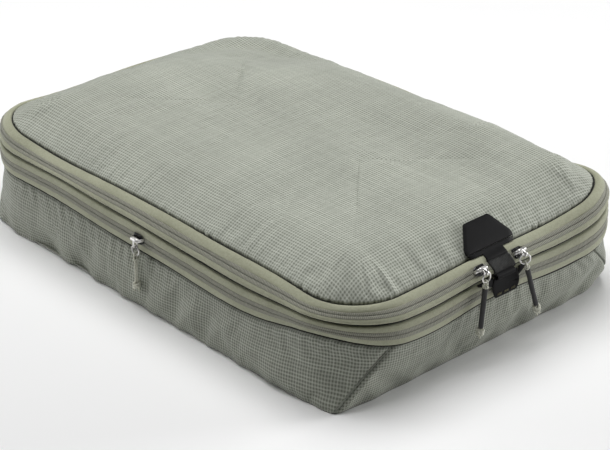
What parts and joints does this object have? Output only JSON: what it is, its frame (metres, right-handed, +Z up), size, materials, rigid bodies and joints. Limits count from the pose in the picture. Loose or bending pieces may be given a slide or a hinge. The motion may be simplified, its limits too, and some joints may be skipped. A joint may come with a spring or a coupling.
{
  "type": "packing cube",
  "caption": "Soft rectangular compression packing cube of ripstop fabric with a zipped lid, an expansion zip round its middle, black grab tabs and cord zip pulls.",
  "frame": {"origin": "centre of the base, on the surface that the cube lies on", "axes": "+Z up from the base to the lid, +Y along the long side towards the lid's hinge, so the grab tabs and the two main zip pulls are at -Y and the compression pull is at -X"},
  "size_m": [0.3227, 0.4749, 0.1065],
  "materials": {
    "ripstop": "matte ripstop weave",
    "zip_tape": "matte woven tape",
    "zip_coil": "matte coil",
    "binding": "matte woven binding",
    "gusset_fabric": "matte woven",
    "tab_black": "matte grained",
    "slider_black": "gloss black",
    "bright_metal": "bright plated",
    "pull_cord": "braided cord",
    "pull_sleeve": "satin"
  },
  "bodies": {
    "lower_shell": {"base_panel": "ripstop", "base_seam_binding": "binding", "front_wall": "ripstop", "rear_wall": "ripstop", "left_wall": "ripstop", "right_wall": "ripstop", "wall_seam_binding": "binding", "compression_lower_tape": "zip_tape", "compression_lower_coil": "zip_coil", "expansion_gusset": "gusset_fabric"},
    "upper_section": {"compression_upper_tape": "zip_tape", "compression_upper_coil": "zip_coil", "main_lower_tape": "zip_tape", "main_lower_coil": "zip_coil", "fold_binding": "binding", "rear_hinge_lower_strip": "zip_tape", "lower_tab_fold": "tab_black", "lower_tab_shoulder_left": "tab_black", "lower_tab_shoulder_right": "tab_black"},
    "lid": {"lid_panel": "ripstop", "main_upper_tape": "zip_tape", "main_upper_coil": "zip_coil", "lid_seam_binding": "binding", "rear_hinge_upper_strip": "zip_tape", "upper_tab_base": "tab_black", "upper_tab_tongue": "tab_black"},
    "upper_tab": {"upper_tab": "tab_black"},
    "lower_tab": {"lower_tab": "tab_black"},
    "main_left_slider": {"main_left_slider_body": "slider_black", "main_left_slider_bridge": "bright_metal"},
    "main_left_link": {"main_left_link": "bright_metal"},
    "main_left_ring": {"main_left_ring": "bright_metal"},
    "main_left_pull": {"main_left_cord": "pull_cord", "main_left_hitch": "pull_cord", "main_left_knot": "pull_cord", "main_left_sleeve": "pull_sleeve"},
    "main_right_slider": {"main_right_slider_body": "slider_black", "main_right_slider_bridge": "bright_metal"},
    "main_right_link": {"main_right_link": "bright_metal"},
    "main_right_ring": {"main_right_ring": "bright_metal"},
    "main_right_pull": {"main_right_cord": "pull_cord", "main_right_hitch": "pull_cord", "main_right_knot": "pull_cord", "main_right_sleeve": "pull_sleeve"},
    "compression_slider": {"compression_slider_body": "slider_black", "compression_slider_bridge": "bright_metal"},
    "compression_link": {"compression_link": "bright_metal"},
    "compression_ring": {"compression_ring": "bright_metal"},
    "compression_pull": {"compression_cord": "pull_cord", "compression_hitch": "pull_cord", "compression_knot": "pull_cord"}
  },
  "joints": [
    {"name": "expand", "type": "slide", "parent": "lower_shell", "child": "upper_section", "axis": [0, 0, 1], "range_m": [0, 0.05], "deforming": ["expansion_gusset"]},
    {"name": "lid_open", "type": "hinge", "parent": "upper_section", "child": "lid", "pos_m": [0, 0.231, 0.07965], "axis": [-1, 0, 0], "range_deg": [0, 170]},
    {"name": "upper_tab_lift", "type": "hinge", "parent": "lid", "child": "upper_tab", "pos_m": [0, -0.21679, 0.08901], "axis": [1, 0, 0], "range_deg": [0, 110]},
    {"name": "lower_tab_lift", "type": "hinge", "parent": "upper_section", "child": "lower_tab", "pos_m": [0, -0.2326, 0.0716], "axis": [-1, 0, 0], "range_deg": [0, 100]},
    {"name": "main_left_zip", "type": "slide", "parent": "lid", "child": "main_left_slider", "axis": [-1, 0, 0], "range_m": [0, 0.065]},
    {"name": "main_left_link_swing", "type": "hinge", "parent": "main_left_slider", "child": "main_left_link", "pos_m": [-0.0225, -0.2305, 0.08307], "axis": [-1, 0, 0], "range_deg": [0, 110]},
    {"name": "main_left_ring_swing", "type": "hinge", "parent": "main_left_link", "child": "main_left_ring", "pos_m": [-0.0225, -0.23483, 0.0815], "axis": [-1, 0, 0], "range_deg": [0, 45]},
    {"name": "main_left_pull_swing", "type": "hinge", "parent": "main_left_ring", "child": "main_left_pull", "pos_m": [-0.02293, -0.23483, 0.07332], "axis": [-1, 0, 0], "range_deg": [0, 45]},
    {"name": "main_right_zip", "type": "slide", "parent": "lid", "child": "main_right_slider", "axis": [1, 0, 0], "range_m": [0, 0.065]},
    {"name": "main_right_link_swing", "type": "hinge", "parent": "main_right_slider", "child": "main_right_link", "pos_m": [0.0195, -0.2305, 0.08307], "axis": [-1, 0, 0], "range_deg": [0, 110]},
    {"name": "main_right_ring_swing", "type": "hinge", "parent": "main_right_link", "child": "main_right_ring", "pos_m": [0.0195, -0.23483, 0.0815], "axis": [-0.8192, 0.5736, 0], "range_deg": [0, 45]},
    {"name": "main_right_pull_swing", "type": "hinge", "parent": "main_right_ring", "child": "main_right_pull", "pos_m": [0.02031, -0.2354, 0.07342], "axis": [-0.8192, 0.5736, 0], "range_deg": [0, 45]},
    {"name": "compression_zip", "type": "slide", "parent": "lower_shell", "child": "compression_slider", "axis": [0, 1, 0], "range_m": [0, 0.15]},
    {"name": "compression_link_swing", "type": "hinge", "parent": "compression_slider", "child": "compression_link", "pos_m": [-0.16205, 0.009, 0.062], "axis": [0, 1, 0], "range_deg": [0, 110]},
    {"name": "compression_ring_swing", "type": "hinge", "parent": "compression_link", "child": "compression_ring", "pos_m": [-0.16205, 0.009, 0.0574], "axis": [0, 1, 0], "range_deg": [0, 45]},
    {"name": "compression_pull_swing", "type": "hinge", "parent": "compression_ring", "child": "compression_pull", "pos_m": [-0.16205, 0.009, 0.0492], "axis": [0, 1, 0], "range_deg": [0, 45]}
  ]
}
